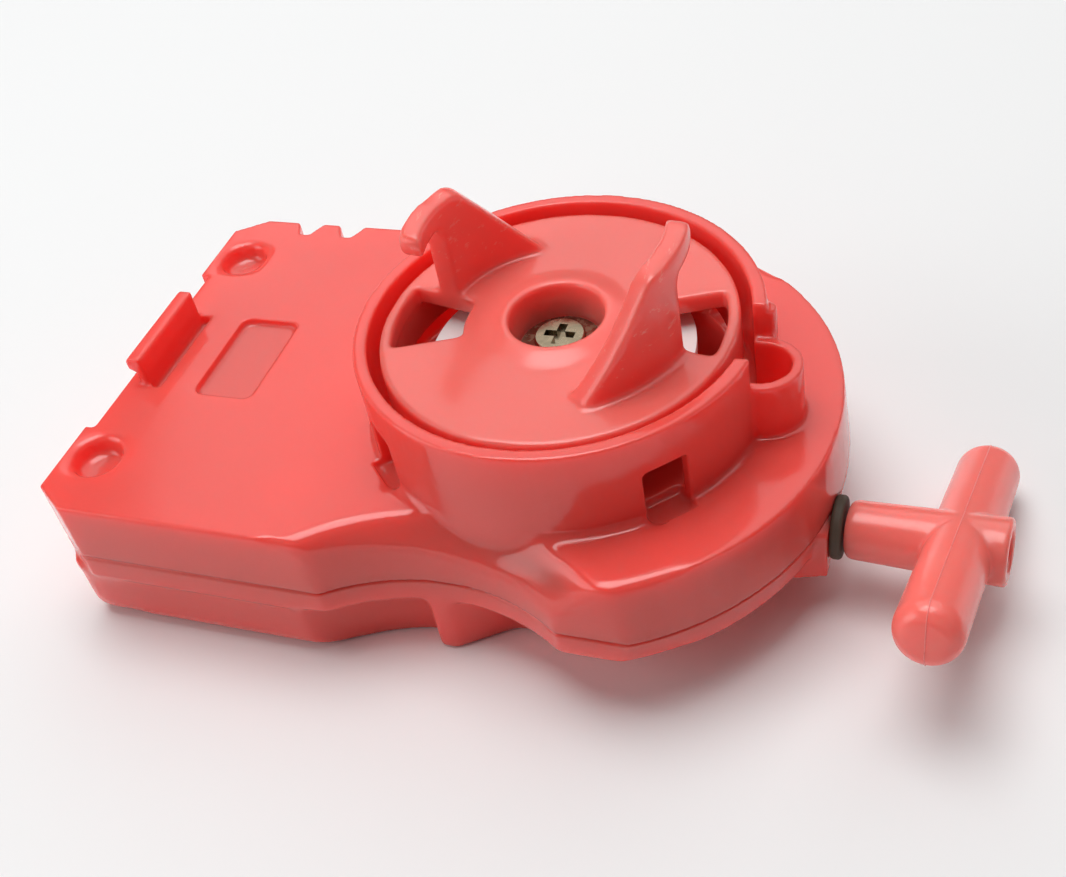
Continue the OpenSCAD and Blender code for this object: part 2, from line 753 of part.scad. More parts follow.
module shaft_bush() {
    color(white) difference() {
        union() {
            translate([0, 0, bush_z]) cylinder(r = bush_flange_r, h = bush_flange_t);
            translate([0, 0, bush_z]) cylinder(r = shaft_r + bush_wall, h = hub_z - end_gap - bush_z);
        }
        translate([0, 0, bush_z - past]) cylinder(r = shaft_r + run_gap, h = hub_z - bush_z + 2 * past);
    }
}

module reel_axle() {
    groove = axle_r * 0.8;
    color(steel) difference() {
        translate([0, 0, axle_floor]) cylinder(r = axle_r, h = axle_top - axle_floor);
        tube(groove, axle_r + past, axle_top - clip_ring_t - 1.5 * end_gap, axle_top - end_gap / 2);
    }
}

module axle_clip() {
    groove = axle_r * 0.8;
    color(steel) difference() {
        tube(groove + seat_gap, axle_boss_r, axle_top - end_gap - clip_ring_t, axle_top - end_gap);
        translate([0, -groove / 2, axle_top - 2 * end_gap - clip_ring_t]) cube([axle_boss_r + past, groove, clip_ring_t + past]);
    }
}

module spring_cover() {
    color(steel) tube(arbor_r + 2 * end_gap, drum_in - end_gap, cover_z, cover_z + cover_t);
}

module spring_anchor() {
    color(steel) translate(concat(polar(anchor_at, lead_a), [floor_t / 2]))
        cylinder(r = anchor_r, h = cover_z - floor_t / 2 - end_gap);
}

// Spiral strip: the inner end is hooked into the arbor, the outer end round the anchor pin
module power_spring() {
    r0 = arbor_r + strip_gap;
    r1 = anchor_at - anchor_r - strip_t;
    steps = 24 * strip_turns;
    spiral = [for (i = [0:steps]) [r0 + (r1 - r0) * i / steps, lead_a - 360 * strip_turns * (1 - i / steps)]];
    inside = [for (p = spiral) polar(p[0] - strip_t / 2, p[1])];
    outside = [for (i = [steps:-1:0]) polar(spiral[i][0] + strip_t / 2, spiral[i][1])];
    color(steel) translate([0, 0, spring_z]) union() {
        linear_extrude(strip_w) polygon(concat(inside, outside));
        rotate(lead_a) translate([arbor_r * 0.75, -strip_t / 2, 0]) cube([r0 - arbor_r * 0.75, strip_t, strip_w]);
        translate(polar(anchor_at, lead_a))
            tube(anchor_r + seat_gap, anchor_r + seat_gap + strip_t, 0, strip_w);
    }
}

module cord_guide() {
    from = exit_x - bumper_neck - guide_len;
    round_r = guide_r - cord_hole_r;
    color("goldenrod") translate([from, exit_y, cord_z])
        spun_on_x(concat([[guide_r, round_r / 2], [guide_r, guide_len]], [[cord_hole_r, guide_len]],
            arc([cord_hole_r + round_r / 2, round_r / 2], round_r / 2, 180, 270)));
}

module bumper_ring() {
    soft = bumper_t / 3;
    neck_r = guide_r - seat_gap;
    color(dark) translate([exit_x, exit_y, cord_z])
        spun_on_x(concat([[cord_hole_r, -bumper_neck], [neck_r, -bumper_neck], [neck_r, seat_gap], [bumper_r - soft, seat_gap]],
            arc([bumper_r - soft, seat_gap + soft], soft, -90, 0, 4), arc([bumper_r - soft, bumper_t - soft], soft, 0, 90, 4),
            [[cord_hole_r, bumper_t]]));
}

module cord_lead() {
    r = cord_d / 2;
    turn = atan2(lead_vec[1], lead_vec[0]);
    lap = r * tan(turn / 2) + r / 4;
    unit = lead_vec / norm(lead_vec);
    color(cord_colour) union() {
        cord_run(lead_from, lead_vec + unit * lap, r);
        cord_run([bend_x - lap, exit_y], [exit_x - bend_x + lap, 0], r * 0.97);
    }
}

module cord_spool() {
    bore = axle_r + run_gap;
    low_bore = axle_boss_r + end_gap;
    low_z = floor_t + axle_boss_h + end_gap;
    color(white) difference() {
        rotate_extrude() polygon([[low_bore, spring_z], [arbor_r, spring_z], [arbor_r, reel_z], [reel_r, reel_z],
            [reel_r, groove_z], [core_r, groove_z], [core_r, carrier_z], [reel_r, carrier_z],
            [reel_r, carrier_z + carrier_t], [bore, carrier_z + carrier_t], [bore, low_z], [low_bore, low_z]]);
        rotate(lead_a) translate([arbor_r * 0.75 - strip_t, -strip_t, spring_z - past])
            cube([arbor_r, 2 * strip_t, strip_w + past]);
        for (a = [0, 180])
            rotate(a) translate([pawl_at, 0, pin_z])
                cylinder(r = pawl_pin_r + seat_gap, h = carrier_t + past);
    }
}

module cord_winding() {
    skin = end_gap / 4;
    color(cord_colour) tube(core_r + skin, wound_r, groove_z + skin, carrier_z - skin);
}

module pawl_pins() {
    color(steel) for (a = [0, 180])
        rotate(a) translate([pawl_at, 0, pin_z])
            cylinder(r = pawl_pin_r, h = pawl_spring_z + pawl_spring_h - pin_z);
}

module pawl_springs() {
    color(steel) for (a = [0, 180])
        rotate(a) translate([pawl_at, 0, 0]) {
            tube(pawl_pin_r + seat_gap, pawl_pin_r + pawl_wire, pawl_spring_z, pawl_spring_z + pawl_spring_h);
            translate([-pawl_pin_r - pawl_wire, 0, pawl_spring_z]) cube([pawl_wire * 0.9, pawl_reach / 2, pawl_spring_h]);
        }
}

// Pawl at rest: the nose points the way the reel turns when the cord is pulled
module drive_pawl(a) {
    nose = polar(pawl_reach, 95.4);
    heel = polar(pawl_reach * 0.842, 103.3);
    color(steel) rotate(a) translate([pawl_at, 0, pawl_z]) difference() {
        union() {
            cylinder(r = pawl_eye_r, h = pawl_t);
            linear_extrude(pawl_t) polygon([[pawl_eye_r, 0], nose, heel, [-pawl_eye_r, 0]]);
        }
        translate([0, 0, -past]) cylinder(r = pawl_pin_r + run_gap, h = pawl_t + 2 * past);
    }
}

module drive_pawl_a() { drive_pawl(0); }

module drive_pawl_b() { drive_pawl(180); }

// A profile along the arc and up from the disc's face, drawn out from the axis at an angle
module hook_prism(a) {
    rotate([90, 0, 90 + a]) linear_extrude(hook_in + hook_t + past) children();
}

// Distance along a hook's arc from the angle it is drawn at
function along(a, mid) = hook_mid_r * sin(a - mid);

// A ramp rises to a flat top, and the top runs on past the stem as a beak
module hook(a) {
    ramp_mid = hook_stem_a / 2;
    beak_mid = (hook_top_a + hook_tip_a) / 2;
    foot = along(0, ramp_mid);
    crest = along(hook_top_a, ramp_mid);
    ramp_end = along(hook_stem_a, ramp_mid) - past;
    stem = along(hook_stem_a, beak_mid);
    back = stem - 2 * past;
    tip = along(hook_tip_a, beak_mid);
    r = hook_round;
    under = hook_h - hook_beak;
    lap = r / 8;
    ramp_top = hook_h - lap;
    rotate(a) translate([0, 0, disc_z]) intersection() {
        union() {
            hook_prism(ramp_mid)
                polygon([[foot, -disc_t / 2], [foot, 0], [crest - r / 2, ramp_top - r / 2], [crest + r / 2, ramp_top],
                    [ramp_end, ramp_top], [ramp_end, -disc_t / 2]]);
            hook_prism(beak_mid)
                polygon(concat([[back, -disc_t / 3], [back, ramp_top - lap], [stem, hook_h]], arc([tip - r, hook_h - r], r, 90, 0),
                    arc([tip - r, under + r], r, 0, -90), arc([stem + r, under - r], r, 90, 180), [[stem, -disc_t / 3]]));
        }
        tube(hook_in, hook_in + hook_t, -disc_t, hook_h + past);
    }
}

module launch_disc() {
    low_z = disc_z - disc_t;
    color(red) difference() {
        union() {
            translate([0, 0, low_z]) cylinder(r = disc_r, h = disc_t);
            tube(disc_r - skirt_wall, disc_r, disc_z - skirt_deep, low_z + disc_t / 2);
            translate([0, 0, socket_z]) cylinder(r = key_r, h = low_z + disc_t / 2 - socket_z, $fn = 6);
            translate([0, 0, disc_z]) cylinder(r1 = swell_r, r2 = well_r + swell_h, h = swell_h);
            for (a = [0, 180]) hook(hook_at + a);
        }
        translate([0, 0, well_z]) cylinder(r1 = well_in, r2 = well_r, h = well_deep);
        translate([0, 0, disc_z]) cylinder(r = well_r, h = swell_h + past);
        translate([0, 0, socket_z - past]) cylinder(r = hub_screw_r + run_gap, h = well_deep + disc_h);
        for (a = [0, 180])
            sector(slot_in, slot_out, hook_at + a + slot_a0, hook_at + a + slot_a1, low_z - past, disc_z + past / 4);
    }
}

module drive_hub() {
    color(white) difference() {
        union() {
            translate([0, 0, flange_top - flange_t]) cylinder(r = flange_r, h = flange_t);
            translate([0, 0, hub_z]) cylinder(r = socket_r, h = flange_top - hub_z);
            translate([0, 0, cup_top]) cylinder(r = shaft_r, h = hub_z - cup_top + socket_floor / 2);
            translate([0, 0, shaft_end_z]) cylinder(r = shaft_key_r, h = hub_z - shaft_end_z, $fn = 6);
        }
        translate([0, 0, socket_z]) cylinder(r = key_r + run_gap, h = socket_deep + past, $fn = 6);
        translate([0, 0, shaft_end_z - past]) cylinder(r = hub_screw_r + run_gap, h = hub_z);
    }
}

// Inner outline of the ratchet cup: each tooth drops straight on its driven side
module cup_teeth() {
    pitch = 360 / teeth;
    edge = acos((pow(pawl_at, 2) + pow(tooth_tip_r, 2) - pow(pawl_reach, 2)) / (2 * pawl_at * tooth_tip_r)) + tooth_lead;
    polygon([for (i = [0:teeth - 1]) for (p = [[tooth_root_r, 0], [tooth_tip_r, 0.6]]) polar(p[0], edge + i * pitch + p[1])]);
}

module ratchet_cup() {
    cup_r = tooth_root_r + cup_wall;
    color("#d9d4c4") difference() {
        union() {
            translate([0, 0, pawl_z]) linear_extrude(cup_z - pawl_z) difference() {
                circle(r = cup_r);
                cup_teeth();
            }
            translate([0, 0, cup_z]) cylinder(r = cup_r, h = cup_t);
            translate([0, 0, cup_z]) cylinder(r = shaft_r + bush_wall, h = cup_top - cup_z);
        }
        translate([0, 0, shaft_end_z]) cylinder(r = shaft_key_r + run_gap, h = cup_top, $fn = 6);
        translate([0, 0, cup_z - past]) cylinder(r = hub_screw_r + run_gap, h = cup_top);
    }
}

module hub_screw() {
    dome = hub_head_h / 3;
    color(steel) difference() {
        union() {
            translate([0, 0, screw_seat_z]) rotate_extrude() polygon(concat([[0, 0], [hub_head_r, 0]],
                arc([hub_head_r - dome, hub_head_h - dome], dome, 0, 60, 4), [[0, hub_head_h]]));
            translate([0, 0, hub_nut_z]) cylinder(r = hub_screw_r, h = screw_seat_z - hub_nut_z + hub_head_h / 4);
        }
        translate([0, 0, screw_seat_z + hub_head_h]) cross_recess(hub_head_r, hub_head_h / 2);
    }
}

module hub_washer() {
    color(steel) tube(hub_screw_r + run_gap, hub_washer_r, well_z, screw_seat_z);
}

module hub_nut() {
    color(steel) difference() {
        translate([0, 0, hub_nut_z]) cylinder(r = hub_nut_r, h = hub_nut_h, $fn = 6);
        translate([0, 0, hub_nut_z - past]) cylinder(r = hub_screw_r + seat_gap, h = hub_nut_h + 2 * past);
    }
}

module cord_tail() {
    knot_at = bar_at + stub_len - hollow_deep;
    start = bumper_t + stem_gap / 2;
    color(cord_colour) on_pull() rotate([0, 90, 0]) translate([0, 0, start])
        cylinder(r = cord_d / 2, h = knot_at - start + end_gap);
}

module cord_knot() {
    seat = bar_at + stub_len - hollow_deep + end_gap;
    color(cord_colour) on_pull() translate([seat, 0, 0])
        spun_on_x(concat([[0, 0]], arc([knot_r / 2, knot_r / 2], knot_r / 2, -90, 0, 4),
            arc([knot_r / 2, knot_r], knot_r / 2, 0, 90, 4), [[0, 1.5 * knot_r]]));
}

module t_handle() {
    from = bumper_t + stem_gap;
    soft = stem_r / 4;
    lip = stem_r / 8;
    stub_end = bar_at + stub_len;
    color(red) on_pull() difference() {
        union() {
            spun_on_x(concat([[0, from]], arc([stem_r - soft, from + soft], soft, -90, 0),
                arc([stem_root_r - lip, stub_end - lip], lip, 0, 90, 3), [[0, stub_end]]));
            translate([bar_at, 0, 0]) rotate([90 - pull_roll, 0, 0]) rotate_extrude()
                polygon(concat([[0, -bar_len / 2]], arc([bar_r - bar_round, bar_round - bar_len / 2], bar_round, -90, 0),
                    arc([bar_r - bar_round, bar_len / 2 - bar_round], bar_round, 0, 90), [[0, bar_len / 2]]));
        }
        rotate([0, 90, 0]) cylinder(r = cord_hole_r, h = stub_end + past);
        translate([stub_end - hollow_deep, 0, 0]) rotate([0, 90, 0]) cylinder(r = hollow_r, h = hollow_deep + past);
    }
}

top_shell();
bottom_shell();
case_screws();
shaft_bush();
reel_axle();
axle_clip();
spring_cover();
spring_anchor();
power_spring();
cord_guide();
bumper_ring();
cord_lead();
cord_spool();
cord_winding();
pawl_pins();
pawl_springs();
drive_pawl_a();
drive_pawl_b();
launch_disc();
drive_hub();
ratchet_cup();
hub_screw();
hub_washer();
hub_nut();
cord_tail();
cord_knot();
t_handle();
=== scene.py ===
"""Looks of a string launcher for spinning tops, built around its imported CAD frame."""
import json
import math

import bpy
from mathutils import Matrix, Vector


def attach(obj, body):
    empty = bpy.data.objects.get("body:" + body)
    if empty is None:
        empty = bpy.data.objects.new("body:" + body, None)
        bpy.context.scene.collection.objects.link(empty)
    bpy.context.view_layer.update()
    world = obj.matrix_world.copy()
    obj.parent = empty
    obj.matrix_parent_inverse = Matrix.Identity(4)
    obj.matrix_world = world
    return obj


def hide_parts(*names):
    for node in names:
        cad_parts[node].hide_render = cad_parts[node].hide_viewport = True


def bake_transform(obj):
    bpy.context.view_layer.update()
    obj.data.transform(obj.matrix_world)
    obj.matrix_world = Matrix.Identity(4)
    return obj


MM = 0.001

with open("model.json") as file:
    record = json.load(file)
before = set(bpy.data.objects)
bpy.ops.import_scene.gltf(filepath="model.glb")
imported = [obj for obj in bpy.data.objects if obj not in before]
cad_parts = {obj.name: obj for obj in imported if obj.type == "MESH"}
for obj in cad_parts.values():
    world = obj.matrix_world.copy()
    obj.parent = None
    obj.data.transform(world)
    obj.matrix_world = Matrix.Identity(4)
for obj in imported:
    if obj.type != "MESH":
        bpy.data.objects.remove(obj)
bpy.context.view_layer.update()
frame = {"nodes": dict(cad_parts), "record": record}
nodes = frame["nodes"]


def new_material(name):
    """A fresh node material with its principled shader."""
    mat = bpy.data.materials.new(name)
    mat.use_nodes = True
    shader = mat.node_tree.nodes["Principled BSDF"]
    return mat, mat.node_tree, shader


def add_node(tree, kind, **values):
    """A shader node with its input values set by name."""
    node = tree.nodes.new(kind)
    for key, value in values.items():
        node.inputs[key].default_value = value
    return node


def object_noise(tree, scale, detail, roughness=0.5):
    """Noise over the object's own coordinates, in features per metre."""
    where = tree.nodes.new("ShaderNodeTexCoord")
    noise = add_node(tree, "ShaderNodeTexNoise", Scale=scale, Detail=detail, Roughness=roughness)
    tree.links.new(where.outputs["Object"], noise.inputs["Vector"])
    return noise


def spread(tree, source, low, high, start=0.3, stop=0.7):
    """Maps a 0 to 1 source to a range, between two of its values."""
    node = add_node(tree, "ShaderNodeMapRange")
    node.inputs["From Min"].default_value = start
    node.inputs["From Max"].default_value = stop
    node.inputs["To Min"].default_value = low
    node.inputs["To Max"].default_value = high
    tree.links.new(source, node.inputs["Value"])
    return node


def two_tone(tree, source, dark, light):
    """Mixes two colours by a 0 to 1 source."""
    mix = tree.nodes.new("ShaderNodeMix")
    mix.data_type = "RGBA"
    mix.inputs["A"].default_value = (*dark, 1)
    mix.inputs["B"].default_value = (*light, 1)
    tree.links.new(source, mix.inputs["Factor"])
    return mix


def bumped(tree, shader, height, strength, distance):
    """Feeds a height to the shader as a small relief."""
    bump = add_node(tree, "ShaderNodeBump", Strength=strength, Distance=distance)
    tree.links.new(height, bump.inputs["Height"])
    tree.links.new(bump.outputs["Normal"], shader.inputs["Normal"])


def plastic(name, dark, light, rough_low, rough_high, glow):
    """Moulded plastic: a slightly uneven colour, soft scatter, and fine surface waves."""
    mat, tree, shader = new_material(name)
    cloud = object_noise(tree, 60, 2)
    colour = two_tone(tree, cloud.outputs["Fac"], dark, light)
    tree.links.new(colour.outputs["Result"], shader.inputs["Base Color"])
    wear = object_noise(tree, 420, 4, 0.6)
    rough = spread(tree, wear.outputs["Fac"], rough_low, rough_high)
    tree.links.new(rough.outputs["Result"], shader.inputs["Roughness"])
    grain = object_noise(tree, 1500, 2)
    bumped(tree, shader, grain.outputs["Fac"], 0.08, 0.03 * MM)
    shader.inputs["IOR"].default_value = 1.5
    shader.inputs["Subsurface Weight"].default_value = glow
    shader.inputs["Subsurface Radius"].default_value = (1.0, 0.16, 0.13)
    shader.inputs["Subsurface Scale"].default_value = 5 * MM
    return mat


def scuffed(mat, low, high, pale):
    """Adds pale rub marks to the part of a piece that lies above a height."""
    tree = mat.node_tree
    shader = tree.nodes["Principled BSDF"]
    under = shader.inputs["Base Color"].links[0].from_socket
    where = tree.nodes.new("ShaderNodeTexCoord")
    stretch = add_node(tree, "ShaderNodeMapping")
    stretch.inputs["Scale"].default_value = (1.0, 0.3, 1.0)
    stretch.inputs["Rotation"].default_value = (0.5, 0.0, 0.6)
    tree.links.new(where.outputs["Object"], stretch.inputs["Vector"])
    rubs = add_node(tree, "ShaderNodeTexNoise", Scale=1100, Detail=4, Roughness=0.7)
    tree.links.new(stretch.outputs["Vector"], rubs.inputs["Vector"])
    marks = spread(tree, rubs.outputs["Fac"], 0.0, 0.5, 0.60, 0.74)
    axes = tree.nodes.new("ShaderNodeSeparateXYZ")
    tree.links.new(where.outputs["Object"], axes.inputs["Vector"])
    height = spread(tree, axes.outputs["Z"], 0.0, 1.0, low, high)
    both = tree.nodes.new("ShaderNodeMath")
    both.operation = "MULTIPLY"
    tree.links.new(marks.outputs["Result"], both.inputs[0])
    tree.links.new(height.outputs["Result"], both.inputs[1])
    # The piece's own colour takes the place of the first tone
    mix = two_tone(tree, both.outputs["Value"], pale, pale)
    tree.links.new(under, mix.inputs["A"])
    tree.links.new(mix.outputs["Result"], shader.inputs["Base Color"])


def metal(name, dark, light, rough_low, rough_high, streak):
    """Worked metal: streaks along one direction and small changes of shine."""
    mat, tree, shader = new_material(name)
    where = tree.nodes.new("ShaderNodeTexCoord")
    stretch = add_node(tree, "ShaderNodeMapping")
    stretch.inputs["Scale"].default_value = streak
    tree.links.new(where.outputs["Object"], stretch.inputs["Vector"])
    lines = add_node(tree, "ShaderNodeTexNoise", Scale=900, Detail=3)
    tree.links.new(stretch.outputs["Vector"], lines.inputs["Vector"])
    colour = two_tone(tree, lines.outputs["Fac"], dark, light)
    tree.links.new(colour.outputs["Result"], shader.inputs["Base Color"])
    rough = spread(tree, lines.outputs["Fac"], rough_low, rough_high)
    tree.links.new(rough.outputs["Result"], shader.inputs["Roughness"])
    bumped(tree, shader, lines.outputs["Fac"], 0.15, 0.03 * MM)
    shader.inputs["Metallic"].default_value = 1.0
    return mat


def braid(name, dark, light):
    """Braided cord: two slanted sets of strands."""
    mat, tree, shader = new_material(name)
    where = tree.nodes.new("ShaderNodeTexCoord")
    waves = []
    for lean in (0.9, -0.9):
        turn = add_node(tree, "ShaderNodeMapping")
        turn.inputs["Rotation"].default_value = (lean, 0.3, lean)
        tree.links.new(where.outputs["Object"], turn.inputs["Vector"])
        wave = add_node(tree, "ShaderNodeTexWave", Scale=500, Distortion=0.6)
        tree.links.new(turn.outputs["Vector"], wave.inputs["Vector"])
        waves.append(wave)
    weave = tree.nodes.new("ShaderNodeMath")
    weave.operation = "MAXIMUM"
    tree.links.new(waves[0].outputs["Fac"], weave.inputs[0])
    tree.links.new(waves[1].outputs["Fac"], weave.inputs[1])
    colour = two_tone(tree, weave.outputs["Value"], dark, light)
    tree.links.new(colour.outputs["Result"], shader.inputs["Base Color"])
    shader.inputs["Roughness"].default_value = 0.85
    bumped(tree, shader, weave.outputs["Value"], 0.5, 0.1 * MM)
    return mat


coral = plastic("coral_plastic", (0.97, 0.090, 0.075), (0.99, 0.104, 0.086), 0.10, 0.15, 1.0)
# Paler red for the handle: painted highlight, standing in for the light along its top
painted_highlight_coral = plastic("painted_highlight_coral_plastic", (0.97, 0.180, 0.152), (0.99, 0.200, 0.168), 0.17, 0.23, 1.0)
rubbed_coral = plastic("rubbed_coral_plastic", (0.97, 0.146, 0.122), (0.99, 0.164, 0.137), 0.17, 0.23, 1.0)
scuffed(rubbed_coral, 31.5 * MM, 33.5 * MM, (0.98, 0.55, 0.50))
# Lighter red for the bar's parting line: painted highlight, the light the fine ridge catches
ridge_highlight_coral = plastic("ridge_highlight_coral_plastic", (0.97, 0.24, 0.21), (0.99, 0.27, 0.24), 0.25, 0.35, 0.0)
nylon = plastic("white_nylon", (0.86, 0.78, 0.77), (0.91, 0.83, 0.82), 0.34, 0.46, 0.3)
acetal = plastic("ivory_acetal", (0.70, 0.66, 0.55), (0.76, 0.72, 0.62), 0.30, 0.42, 0.2)
plated = metal("plated_steel", (0.13, 0.10, 0.062), (0.42, 0.35, 0.24), 0.14, 0.34, (1, 1, 0.2))
spring = metal("spring_steel", (0.20, 0.21, 0.25), (0.34, 0.35, 0.39), 0.22, 0.40, (1, 1, 0.15))
brass = metal("brass", (0.60, 0.42, 0.16), (0.74, 0.55, 0.24), 0.22, 0.38, (0.2, 1, 1))
cord_weave = braid("braided_cord", (0.55, 0.53, 0.49), (0.80, 0.78, 0.74))
rubber = plastic("dark_rubber", (0.050, 0.040, 0.026), (0.095, 0.076, 0.050), 0.60, 0.80, 0.0)

looks = {
    "red_plastic": coral,
    "white_nylon": nylon,
    "ivory_acetal": acetal,
    "plated_steel": plated,
    "spring_steel": spring,
    "brass": brass,
    "cord": cord_weave,
    "rubber": rubber,
}

for part in frame["record"]["subparts"]:
    piece = nodes[part["node"]]
    piece.data.materials.clear()
    piece.data.materials.append(looks[part["material_slot"]])

# The disc is rubbed by the tops; the handle's paler red is painted highlight, the light along its top put
# into its colour
nodes["launch_disc"].data.materials[0] = rubbed_coral
nodes["t_handle"].data.materials[0] = painted_highlight_coral


def soften(piece, voxel, passes):
    """Rounds the edges and inner corners of a CAD piece with modifiers, as a mould does."""
    weld = piece.modifiers.new("weld", "WELD")
    weld.merge_threshold = 0.002 * MM
    grid = piece.modifiers.new("grid", "REMESH")
    grid.mode = "VOXEL"
    grid.voxel_size = voxel
    grid.use_smooth_shade = True
    smooth = piece.modifiers.new("smooth", "SMOOTH")
    smooth.factor = 0.5
    smooth.iterations = passes


def soften_zone(piece, name, passes, ramps):
    """Rounds one zone of a piece further.

    Each ramp is an axis, where the rounding begins on it and where it is full, in mm.
    """
    group = bpy.data.node_groups.new(name, "GeometryNodeTree")
    group.interface.new_socket("Geometry", in_out="INPUT", socket_type="NodeSocketGeometry")
    group.interface.new_socket("Geometry", in_out="OUTPUT", socket_type="NodeSocketGeometry")
    start = group.nodes.new("NodeGroupInput")
    end = group.nodes.new("NodeGroupOutput")
    place = group.nodes.new("GeometryNodeInputPosition")
    axes = group.nodes.new("ShaderNodeSeparateXYZ")
    group.links.new(place.outputs["Position"], axes.inputs["Vector"])
    side = group.nodes.new("ShaderNodeMath")
    side.operation = "ABSOLUTE"
    group.links.new(axes.outputs["Y"], side.inputs[0])
    sources = {"x": axes.outputs["X"], "side": side.outputs["Value"], "z": axes.outputs["Z"]}
    weight = None
    for axis, begin, full in ramps:
        ramp = add_node(group, "ShaderNodeMapRange")
        ramp.interpolation_type = "SMOOTHSTEP"
        ramp.inputs["From Min"].default_value = begin * MM
        ramp.inputs["From Max"].default_value = full * MM
        group.links.new(sources[axis], ramp.inputs["Value"])
        if weight is None:
            weight = ramp.outputs["Result"]
            continue
        both = group.nodes.new("ShaderNodeMath")
        both.operation = "MULTIPLY"
        group.links.new(weight, both.inputs[0])
        group.links.new(ramp.outputs["Result"], both.inputs[1])
        weight = both.outputs["Value"]
    blur = group.nodes.new("GeometryNodeBlurAttribute")
    blur.data_type = "FLOAT_VECTOR"
    blur.inputs["Iterations"].default_value = passes
    value = [socket for socket in blur.inputs if socket.name == "Value" and socket.enabled][0]
    blurred = [socket for socket in blur.outputs if socket.enabled][0]
    move = group.nodes.new("GeometryNodeSetPosition")
    group.links.new(place.outputs["Position"], value)
    group.links.new(weight, blur.inputs["Weight"])
    group.links.new(blurred, move.inputs["Position"])
    group.links.new(start.outputs["Geometry"], move.inputs["Geometry"])
    group.links.new(move.outputs["Geometry"], end.inputs["Geometry"])
    piece.modifiers.new(name, "NODES").node_group = group


shell_voxel = 0.25 * MM
small_voxel = 0.2 * MM
edge_passes = 8
soften(nodes["top_shell"], shell_voxel, edge_passes)
soften(nodes["bottom_shell"], shell_voxel, edge_passes)
soften(nodes["launch_disc"], small_voxel, edge_passes)
soften(nodes["t_handle"], small_voxel, edge_passes)

# The zones that are moulded rounder than the rest
waist_zone = [("side", 17.5, 19.0), ("x", -27.0, -24.5), ("x", 20.0, 16.0)]
socket_zone = [
    ("side", 15.4, 16.2),
    ("side", 23.6, 22.8),
    ("x", -57.0, -56.2),
    ("x", -49.0, -49.8),
    ("z", 16.6, 17.4),
]
rear_zone = [("side", 19.0, 22.0), ("x", -48.0, -51.0), ("z", 8.4, 7.4)]
hook_zone = [("z", 29.6, 30.3)]
soften_zone(nodes["top_shell"], "soft_waist", 36, waist_zone + [("z", 12.0, 13.2), ("z", 20.9, 20.3)])
soften_zone(nodes["top_shell"], "dished_sockets", 36, socket_zone)
soften_zone(nodes["bottom_shell"], "soft_tabs", 20, waist_zone + [("z", 11.2, 10.4)])
soften_zone(nodes["bottom_shell"], "soft_corners", 60, rear_zone)
soften_zone(nodes["launch_disc"], "soft_hooks", 16, hook_zone)

# Where the cord leaves the case, and the turns of the handle
pull_from = Vector((30.8, -5.5, 8.9)) * MM
pull_yaw = math.radians(-4.1)
pull_pitch = math.radians(-2.8)
bar_tilt = math.radians(90 - 18.8)
pull_turn = Matrix.Rotation(pull_yaw, 4, "Z") @ Matrix.Rotation(pull_pitch, 4, "Y")
pull_along = (pull_turn @ Vector((1, 0, 0))).normalized()
# Distances from there along the pull, in mm
stem_start = 1.7
knot_start = 15.3


def make_cord():
    """The pull cord from the guide to its knot, with many rings where it draws out of the case."""
    drawn = 80
    held = 24
    cord_r = 0.56
    strand_rise = 0.04
    stops = [-1.0 + 0.2 * i for i in range(5)]
    stops += [stem_start * i / drawn for i in range(drawn + 1)]
    stops += [stem_start + (knot_start - stem_start) * i / held for i in range(1, held + 1)]
    across = pull_along.cross(Vector((0, 0, 1))).normalized()
    upward = across.cross(pull_along)
    sides = 24
    strands = 6
    points = []
    for far in stops:
        for i in range(sides):
            a = math.tau * i / sides
            r = cord_r + strand_rise * math.cos(strands * (a + far))
            offset = pull_along * far + across * (r * math.cos(a)) + upward * (r * math.sin(a))
            points.append(pull_from + offset * MM)
    faces = [tuple(range(sides))[::-1]]
    for ring in range(len(stops) - 1):
        for i in range(sides):
            j = (i + 1) % sides
            low = ring * sides
            faces.append((low + i, low + j, low + sides + j, low + sides + i))
    faces.append(tuple(range((len(stops) - 1) * sides, len(stops) * sides)))
    mesh = bpy.data.meshes.new("pull_cord")
    mesh.from_pydata(points, [], faces)
    mesh.shade_smooth()
    mesh.materials.append(cord_weave)
    cord = bpy.data.objects.new("pull_cord", mesh)
    bpy.context.collection.objects.link(cord)
    return cord


pull_cord = make_cord()
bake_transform(pull_cord)
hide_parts("cord_tail")


def make_parting_line():
    """The fine ridge that the mould leaves round the handle's bar."""
    bar_at = 13.7
    bar_r = 3.6
    bar_half = 19.6
    corner = 2.0
    ridge_r = 0.06
    steps = 8
    outline = []
    for turn, (y, z) in enumerate(((1, 1), (-1, 1), (-1, -1), (1, -1))):
        for i in range(steps + 1):
            a = math.radians(90 * (turn + i / steps))
            flank = y * (bar_r - corner) + corner * math.cos(a)
            rise = z * (bar_half - corner) + corner * math.sin(a)
            outline.append((flank, rise))
    place = Matrix.Translation(pull_from) @ pull_turn
    place @= Matrix.Translation((bar_at * MM, 0, 0)) @ Matrix.Rotation(bar_tilt, 4, "X")
    curve = bpy.data.curves.new("bar_parting_line", "CURVE")
    curve.dimensions = "3D"
    curve.bevel_depth = ridge_r * MM
    curve.bevel_resolution = 2
    line = curve.splines.new("POLY")
    line.points.add(len(outline) - 1)
    for point, (y, z) in zip(line.points, outline):
        point.co = (*(place @ Vector((0, y * MM, z * MM))), 1)
    line.use_cyclic_u = True
    # The ridge's lighter red is a painted highlight
    curve.materials.append(ridge_highlight_coral)
    ridge = bpy.data.objects.new("bar_parting_line", curve)
    bpy.context.collection.objects.link(ridge)
    return ridge


parting_line = make_parting_line()
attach(parting_line, "handle")

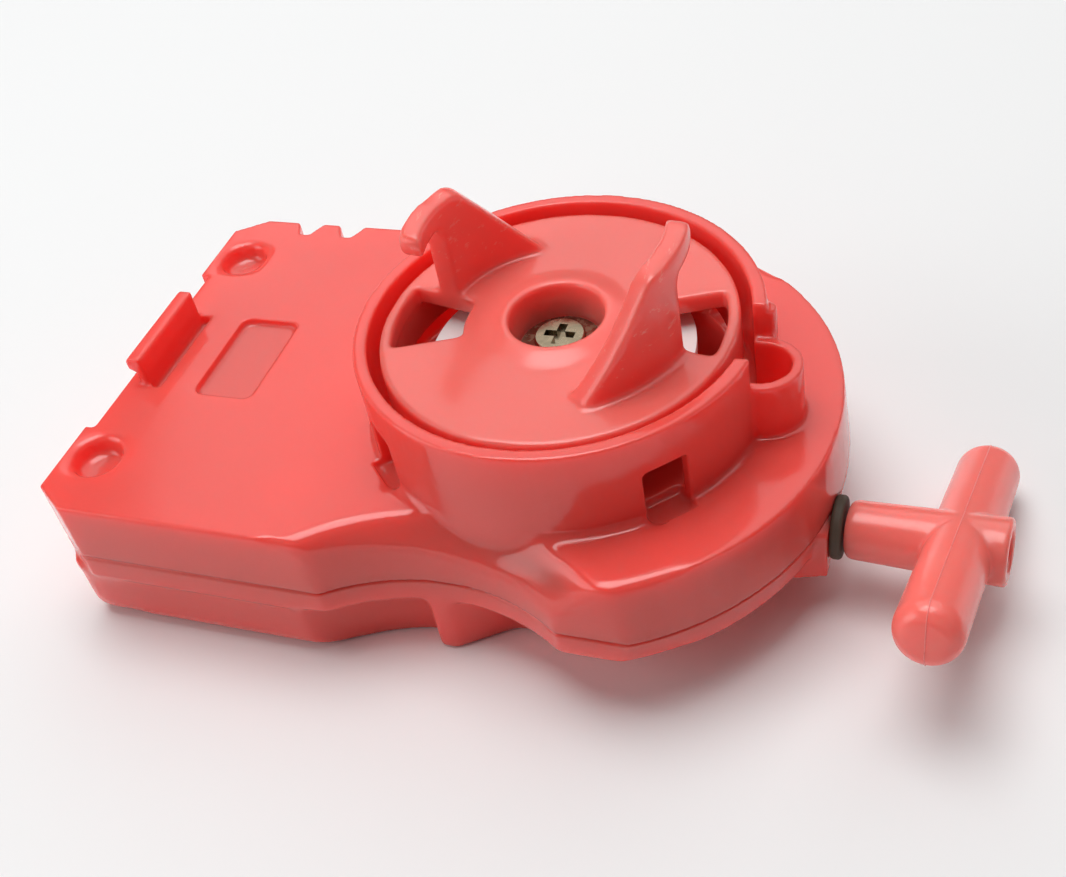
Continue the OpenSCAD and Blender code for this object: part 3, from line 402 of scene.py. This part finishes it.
floor_size = 3.0
bpy.ops.mesh.primitive_plane_add(size=floor_size)
floor = bpy.context.object
floor.name = "floor"
floor_mat, _, floor_shader = new_material("pale_floor")
floor_shader.inputs["Base Color"].default_value = (0.83, 0.835, 0.835, 1)
floor_shader.inputs["Roughness"].default_value = 0.8
floor_shader.inputs["Specular IOR Level"].default_value = 0.1
floor.data.materials.append(floor_mat)

world = bpy.data.worlds.new("studio")
bpy.context.scene.world = world
world.use_nodes = True
sky = world.node_tree.nodes["Background"]
sky.inputs["Color"].default_value = (1, 1, 1, 1)
sky.inputs["Strength"].default_value = 0.12


def soft_box(name, place, aim, size, power):
    """A square area light that looks at a point."""
    lamp = bpy.data.lights.new(name, "AREA")
    lamp.shape = "SQUARE"
    lamp.size = size
    lamp.energy = power
    holder = bpy.data.objects.new(name, lamp)
    holder.location = place
    holder.rotation_mode = "QUATERNION"
    holder.rotation_quaternion = (Vector(aim) - Vector(place)).to_track_quat("-Z", "Y")
    bpy.context.collection.objects.link(holder)


# A broad light behind the object, one above it, and a weak one from the left
soft_box("back_light", place=(-0.05, 0.42, 0.76), aim=(0, 0, 0), size=1.10, power=4.7)
soft_box("overhead", place=(-0.12, 0.05, 0.80), aim=(0, 0, 0), size=0.50, power=3.6)
soft_box("left_fill", place=(-0.54, -0.34, 0.30), aim=(-0.02, 0, 0.01), size=0.45, power=1.5)

camera_place = (49.918 * MM, -111.528 * MM, 126.073 * MM)
camera_elevation = math.radians(42.577)
camera_azimuth = math.radians(26.587)
camera_roll = math.radians(12.02)
ca, sa = math.cos(camera_azimuth), math.sin(camera_azimuth)
ce, se = math.cos(camera_elevation), math.sin(camera_elevation)
level_right = Vector((ca, sa, 0))
level_up = Vector((-se * sa, se * ca, ce))
back = Vector((sa * ce, -ca * ce, se))
# The camera's own right and up directions, tilted by its roll
right = math.cos(camera_roll) * level_right - math.sin(camera_roll) * level_up
up = math.cos(camera_roll) * level_up + math.sin(camera_roll) * level_right
lens = bpy.data.cameras.new("photo_camera")
lens.sensor_width = 36
lens.lens = 47.63
lens.clip_start = 0.005
lens.clip_end = 10
camera = bpy.data.objects.new("photo_camera", lens)
turn = Matrix((right, up, back)).transposed().to_4x4()
camera.matrix_world = Matrix.Translation(camera_place) @ turn
bpy.context.collection.objects.link(camera)
bpy.context.scene.camera = camera

bpy.context.scene.view_settings.view_transform = "Standard"
